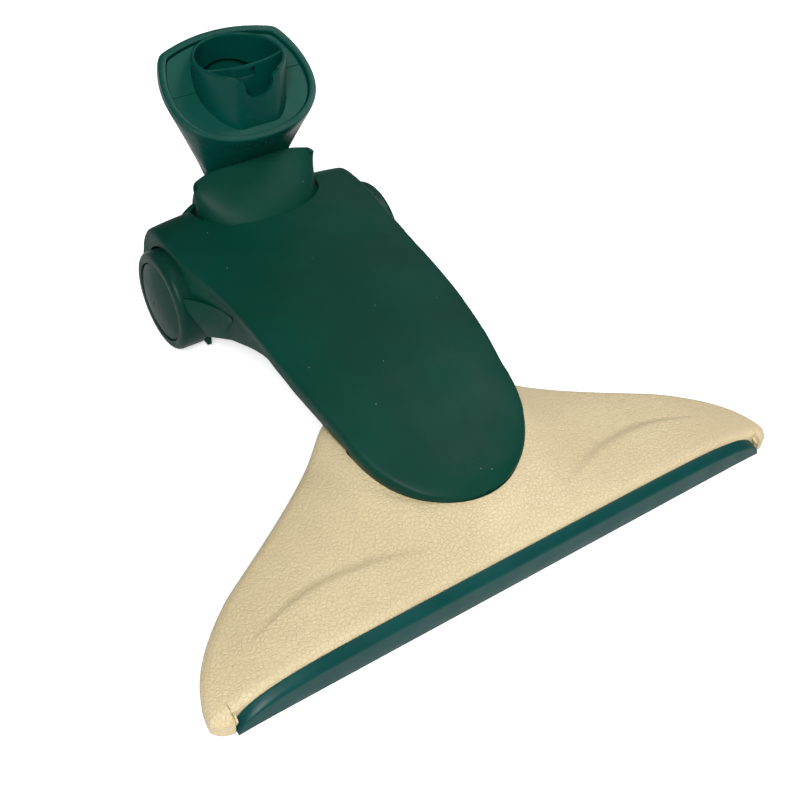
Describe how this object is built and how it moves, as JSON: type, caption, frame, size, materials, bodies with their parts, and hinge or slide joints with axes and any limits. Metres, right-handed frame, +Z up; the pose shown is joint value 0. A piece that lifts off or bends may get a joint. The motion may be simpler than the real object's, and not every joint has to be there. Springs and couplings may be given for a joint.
{
  "type": "vacuum cleaner floor head",
  "caption": "Flat triangular floor cleaning head with a long raised neck, rear wheels, a tilting elbow and a flared connector with an upright tube.",
  "frame": {"origin": "centre of the bounding box in plan, on the floor under the head", "axes": "+Z up from the floor, -Y towards the bumper and +Y towards the connector, +X to the right seen from above with the bumper at the bottom"},
  "size_m": [0.31, 0.2902, 0.1382],
  "materials": {
    "cream_plastic": "fine leather grain",
    "sole_plastic": "moulded",
    "bumper": "satin",
    "bristle": "bristle",
    "lint_pile": "short pile",
    "roller": "moulded",
    "steel": "turned",
    "green_plastic": "fine grain",
    "dark_green_plastic": "fine grain",
    "duct_plastic": "moulded",
    "wheel_plastic": "satin",
    "connector_plastic": "satin"
  },
  "bodies": {
    "base": {"foot_cover": "cream_plastic", "sole_plate": "sole_plastic", "front_bumper": "bumper", "front_brush_bar": "sole_plastic", "front_bristles": "bristle", "rear_brush_bar": "sole_plastic", "rear_bristles": "bristle", "lint_strip_left": "lint_pile", "lint_strip_right": "lint_pile", "roller_axle_left": "steel", "roller_axle_right": "steel", "neck_cowl": "green_plastic", "neck_lower_shell": "dark_green_plastic", "air_duct": "duct_plastic", "axle_stub_left": "steel", "axle_stub_right": "steel", "pivot_pin_left": "steel", "pivot_pin_right": "steel", "sole_screws": "steel", "neck_screws": "steel"},
    "connector": {"tilt_elbow": "green_plastic", "connector_shell": "connector_plastic", "inner_tube": "connector_plastic"},
    "left_wheel": {"wheel_left": "wheel_plastic", "hub_cap_left": "dark_green_plastic"},
    "right_wheel": {"wheel_right": "wheel_plastic", "hub_cap_right": "dark_green_plastic"},
    "left_roller": {"roller_left": "roller"},
    "right_roller": {"roller_right": "roller"}
  },
  "joints": [
    {"name": "connector_tilt", "type": "hinge", "parent": "base", "child": "connector", "pos_m": [0, 0.10094, 0.041], "axis": [-1, 0, 0], "range_deg": [0, 60]},
    {"name": "left_wheel_spin", "type": "hinge", "parent": "base", "child": "left_wheel", "pos_m": [-0.059, 0.08195, 0.0265], "axis": [1, 0, 0], "continuous": true},
    {"name": "right_wheel_spin", "type": "hinge", "parent": "base", "child": "right_wheel", "pos_m": [0.059, 0.08195, 0.0265], "axis": [1, 0, 0], "continuous": true},
    {"name": "left_roller_spin", "type": "hinge", "parent": "base", "child": "left_roller", "pos_m": [-0.058, -0.07305, 0.007], "axis": [1, 0, 0], "continuous": true},
    {"name": "right_roller_spin", "type": "hinge", "parent": "base", "child": "right_roller", "pos_m": [0.058, -0.07305, 0.007], "axis": [1, 0, 0], "continuous": true}
  ]
}
